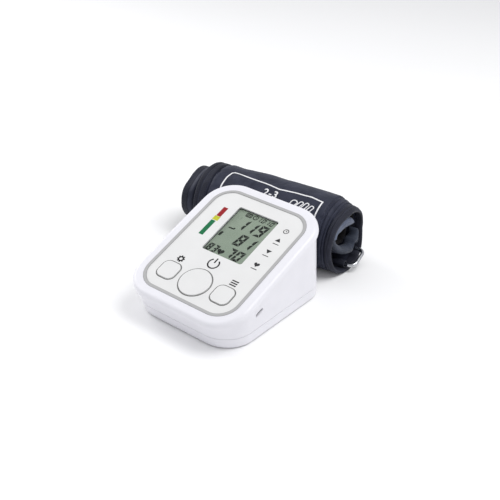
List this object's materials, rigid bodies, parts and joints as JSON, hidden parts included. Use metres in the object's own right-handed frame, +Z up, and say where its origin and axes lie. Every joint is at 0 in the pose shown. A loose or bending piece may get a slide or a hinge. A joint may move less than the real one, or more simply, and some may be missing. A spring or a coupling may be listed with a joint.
{
  "type": "upper-arm blood pressure monitor",
  "caption": "Desk-top upper-arm blood pressure monitor with a sloping display panel and three push buttons, and its rolled cloth arm cuff lying behind it.",
  "frame": {"origin": "on the table, under the middle of the monitor's base", "axes": "+X to the right of someone reading the display, +Y to the back, +Z up"},
  "size_m": [0.1523, 0.1851, 0.0658],
  "materials": {
    "case": "satin white ABS, slight lilac cast",
    "cover": "satin white ABS",
    "trim": "grey painted trim",
    "overlay": "printed pale grey polycarbonate sheet",
    "button": "pale grey plastic",
    "lens": "clear acrylic",
    "display": "grey-green reflective liquid crystal",
    "light_guide": "white diffusing acrylic",
    "inner_plastic": "natural ABS",
    "contact_rubber": "layered conductive silicone",
    "circuit_board": "green solder mask",
    "component": "black epoxy",
    "steel": "zinc-plated steel",
    "nickel": "nickel plate",
    "chrome_wire": "polished chrome plate",
    "foot_rubber": "grey rubber",
    "tube_rubber": "translucent silicone",
    "foam": "black closed-cell foam",
    "cell_wrap": "printed shrink sleeve",
    "pump_metal": "drawn steel can",
    "pump_plastic": "black glass-filled nylon",
    "cuff_cloth": "dark navy nylon on foam",
    "cuff_lining": "blue-grey brushed nylon",
    "cuff_binding": "black woven tape",
    "bladder": "grey thermoplastic film",
    "hook": "black hook tape",
    "port": "dark grey rubber"
  },
  "bodies": {
    "monitor": {"upper_case": "case", "lower_case": "case", "trim_ring": "trim", "panel_overlay": "overlay", "display_lens": "lens", "display_glass": "display", "light_guide": "light_guide", "display_holder": "inner_plastic", "contact_strips": "contact_rubber", "main_board": "circuit_board", "tactile_switches": "component", "board_chips": "component", "board_screws": "steel", "case_screws": "steel", "rubber_feet": "foot_rubber", "battery_cells": "cell_wrap", "battery_contacts": "nickel", "battery_springs": "nickel", "pump_motor": "pump_metal", "pump_head": "pump_plastic", "pump_saddles": "foam", "release_valve": "pump_plastic", "air_junction": "inner_plastic", "pressure_sensor": "component", "air_socket": "inner_plastic", "air_socket_nut": "steel", "air_tubes": "tube_rubber", "power_socket": "steel", "power_board": "circuit_board", "speaker": "component"},
    "left_key": {"left_button": "button"},
    "power_key": {"power_button": "button"},
    "right_key": {"right_button": "button"},
    "cover": {"battery_cover": "cover"},
    "cuff": {"outer_wrap": "cuff_cloth", "inner_turn": "cuff_cloth", "lining": "cuff_lining", "folded_end": "cuff_lining", "bladder": "bladder", "right_binding": "cuff_binding", "left_binding": "cuff_binding", "ring_hem": "cuff_binding", "hook_tape": "hook", "hose_port": "port"},
    "ring": {"tension_ring": "chrome_wire"}
  },
  "joints": [
    {"name": "left_button_press", "type": "slide", "parent": "monitor", "child": "left_key", "axis": [0, 0.3584, -0.9336], "range_m": [0, 0.0006], "stiffness_N_per_m": 1500, "springref_m": -0.0002},
    {"name": "power_button_press", "type": "slide", "parent": "monitor", "child": "power_key", "axis": [0, 0.3584, -0.9336], "range_m": [0, 0.0006], "stiffness_N_per_m": 1500, "springref_m": -0.0002},
    {"name": "right_button_press", "type": "slide", "parent": "monitor", "child": "right_key", "axis": [0, 0.3584, -0.9336], "range_m": [0, 0.0006], "stiffness_N_per_m": 1500, "springref_m": -0.0002},
    {"name": "battery_cover_open", "type": "hinge", "parent": "monitor", "child": "cover", "pos_m": [0, -0.0115, 0.0018], "axis": [-1, 0, 0], "range_deg": [0, 75]},
    {"name": "cuff_away", "type": "slide", "parent": "monitor", "child": "cuff", "axis": [0, 1, 0], "range_m": [0, 0.15]},
    {"name": "ring_swing", "type": "hinge", "parent": "cuff", "child": "ring", "pos_m": [-0.01954, 0.08067, 0.0058], "axis": [0.9903, 0.1392, 0], "range_deg": [-2, 6]}
  ]
}
